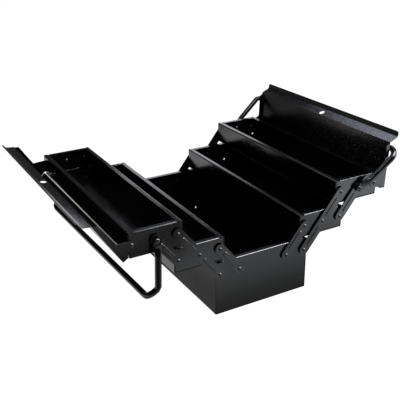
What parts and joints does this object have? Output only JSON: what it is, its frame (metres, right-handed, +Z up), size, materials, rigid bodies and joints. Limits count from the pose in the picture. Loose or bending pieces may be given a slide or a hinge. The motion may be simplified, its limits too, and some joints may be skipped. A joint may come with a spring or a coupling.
{
  "type": "cantilever tool box",
  "caption": "Open cantilever tool box in folded sheet steel: base box, stepped trays on two swinging banks of links, folding ridge lids and bail handles.",
  "frame": {"origin": "middle of the base box's underside", "axes": "X along the box towards the front end panel, Y across it from the left bank to the right bank, Z up"},
  "size_m": [0.4644, 0.6526, 0.2786],
  "materials": {
    "body_paint": "semi-gloss black enamel with fine orange peel",
    "link_paint": "semi-gloss black enamel",
    "handle_paint": "gloss black enamel",
    "rivet_paint": "gloss black enamel over the rivets, rings and washers"
  },
  "bodies": {
    "base_box": {"base_shell": "body_paint", "base_end_front": "body_paint", "base_end_rear": "body_paint", "base_rivets": "rivet_paint", "base_spacers": "rivet_paint"},
    "long_links_left": {"long_link_left_front": "link_paint", "long_link_left_rear": "link_paint"},
    "lower_links_left": {"lower_link_left_front": "link_paint", "lower_link_left_rear": "link_paint"},
    "lower_tray_left": {"tray_lower_left_shell": "body_paint", "tray_lower_left_end_front": "body_paint", "tray_lower_left_end_rear": "body_paint", "tray_lower_left_rivets": "rivet_paint", "tray_lower_left_spacers": "rivet_paint"},
    "upper_links_left": {"upper_link_left_front": "link_paint", "upper_link_left_rear": "link_paint"},
    "upper_tray_left": {"tray_upper_left_shell": "body_paint", "tray_upper_left_end_front": "body_paint", "tray_upper_left_end_rear": "body_paint", "tray_upper_left_rivets": "rivet_paint", "tray_upper_left_spacers": "rivet_paint", "tray_upper_left_handle_washers": "rivet_paint", "lid_left_hinge_rivets": "rivet_paint"},
    "lid_left": {"lid_left_panel": "body_paint", "lid_left_ear_front": "body_paint", "lid_left_ear_rear": "body_paint"},
    "handle_left": {"handle_left": "handle_paint"},
    "long_links_right": {"long_link_right_front": "link_paint", "long_link_right_rear": "link_paint"},
    "lower_links_right": {"lower_link_right_front": "link_paint", "lower_link_right_rear": "link_paint"},
    "lower_tray_right": {"tray_lower_right_shell": "body_paint", "tray_lower_right_end_front": "body_paint", "tray_lower_right_end_rear": "body_paint", "tray_lower_right_rivets": "rivet_paint", "tray_lower_right_spacers": "rivet_paint"},
    "upper_links_right": {"upper_link_right_front": "link_paint", "upper_link_right_rear": "link_paint"},
    "upper_tray_right": {"tray_upper_right_shell": "body_paint", "tray_upper_right_end_front": "body_paint", "tray_upper_right_end_rear": "body_paint", "tray_upper_right_rivets": "rivet_paint", "tray_upper_right_spacers": "rivet_paint", "tray_upper_right_handle_washers": "rivet_paint", "lid_right_hinge_rivets": "rivet_paint"},
    "lid_right": {"lid_right_panel": "body_paint", "lid_right_ear_front": "body_paint", "lid_right_ear_rear": "body_paint"},
    "handle_right": {"handle_right": "handle_paint"}
  },
  "joints": [
    {"name": "left_bank_swing", "type": "hinge", "parent": "base_box", "child": "long_links_left", "pos_m": [0, -0.0919, 0.083], "axis": [-1, 0, 0], "range_deg": [0, 77.4]},
    {"name": "left_lower_tray_level", "type": "hinge", "parent": "long_links_left", "child": "lower_tray_left", "pos_m": [0, -0.13217, 0.13326], "axis": [-1, 0, 0], "range_deg": [-77.4, 0]},
    {"name": "left_upper_tray_level", "type": "hinge", "parent": "long_links_left", "child": "upper_tray_left", "pos_m": [0, -0.17243, 0.18352], "axis": [-1, 0, 0], "range_deg": [-77.4, 0]},
    {"name": "left_lower_links_swing", "type": "hinge", "parent": "base_box", "child": "lower_links_left", "pos_m": [0, -0.0509, 0.083], "axis": [-1, 0, 0], "range_deg": [0, 77.4]},
    {"name": "left_upper_links_swing", "type": "hinge", "parent": "lower_tray_left", "child": "upper_links_left", "pos_m": [0, -0.17317, 0.13326], "axis": [-1, 0, 0], "range_deg": [0, 77.4]},
    {"name": "left_lid_hinge", "type": "hinge", "parent": "upper_tray_left", "child": "lid_left", "pos_m": [0, -0.25553, 0.18352], "axis": [-1, 0, 0], "range_deg": [0, 122.6]},
    {"name": "left_handle_hinge", "type": "hinge", "parent": "upper_links_left", "child": "handle_left", "pos_m": [0, -0.21343, 0.18352], "axis": [-1, 0, 0], "range_deg": [0, 107]},
    {"name": "right_bank_swing", "type": "hinge", "parent": "base_box", "child": "long_links_right", "pos_m": [0, 0.0919, 0.083], "axis": [1, 0, 0], "range_deg": [0, 77.4]},
    {"name": "right_lower_tray_level", "type": "hinge", "parent": "long_links_right", "child": "lower_tray_right", "pos_m": [0, 0.13217, 0.13326], "axis": [1, 0, 0], "range_deg": [-77.4, 0]},
    {"name": "right_upper_tray_level", "type": "hinge", "parent": "long_links_right", "child": "upper_tray_right", "pos_m": [0, 0.17243, 0.18352], "axis": [1, 0, 0], "range_deg": [-77.4, 0]},
    {"name": "right_lower_links_swing", "type": "hinge", "parent": "base_box", "child": "lower_links_right", "pos_m": [0, 0.0509, 0.083], "axis": [1, 0, 0], "range_deg": [0, 77.4]},
    {"name": "right_upper_links_swing", "type": "hinge", "parent": "lower_tray_right", "child": "upper_links_right", "pos_m": [0, 0.17317, 0.13326], "axis": [1, 0, 0], "range_deg": [0, 77.4]},
    {"name": "right_lid_hinge", "type": "hinge", "parent": "upper_tray_right", "child": "lid_right", "pos_m": [0, 0.25553, 0.18352], "axis": [1, 0, 0], "range_deg": [0, 93]},
    {"name": "right_handle_hinge", "type": "hinge", "parent": "upper_tray_right", "child": "handle_right", "pos_m": [0, 0.21343, 0.18352], "axis": [1, 0, 0], "range_deg": [0, 75.5]}
  ],
  "couplings": [
    {"joint": "left_lower_tray_level", "follows": "left_bank_swing", "ratio": -1},
    {"joint": "left_upper_tray_level", "follows": "left_bank_swing", "ratio": -1},
    {"joint": "left_lower_links_swing", "follows": "left_bank_swing", "ratio": 1},
    {"joint": "left_upper_links_swing", "follows": "left_bank_swing", "ratio": 1},
    {"joint": "left_handle_hinge", "follows": "left_lid_hinge", "ratio": 0.872},
    {"joint": "right_lower_tray_level", "follows": "right_bank_swing", "ratio": -1},
    {"joint": "right_upper_tray_level", "follows": "right_bank_swing", "ratio": -1},
    {"joint": "right_lower_links_swing", "follows": "right_bank_swing", "ratio": 1},
    {"joint": "right_upper_links_swing", "follows": "right_bank_swing", "ratio": 1},
    {"joint": "right_handle_hinge", "follows": "right_lid_hinge", "ratio": 0.812}
  ]
}
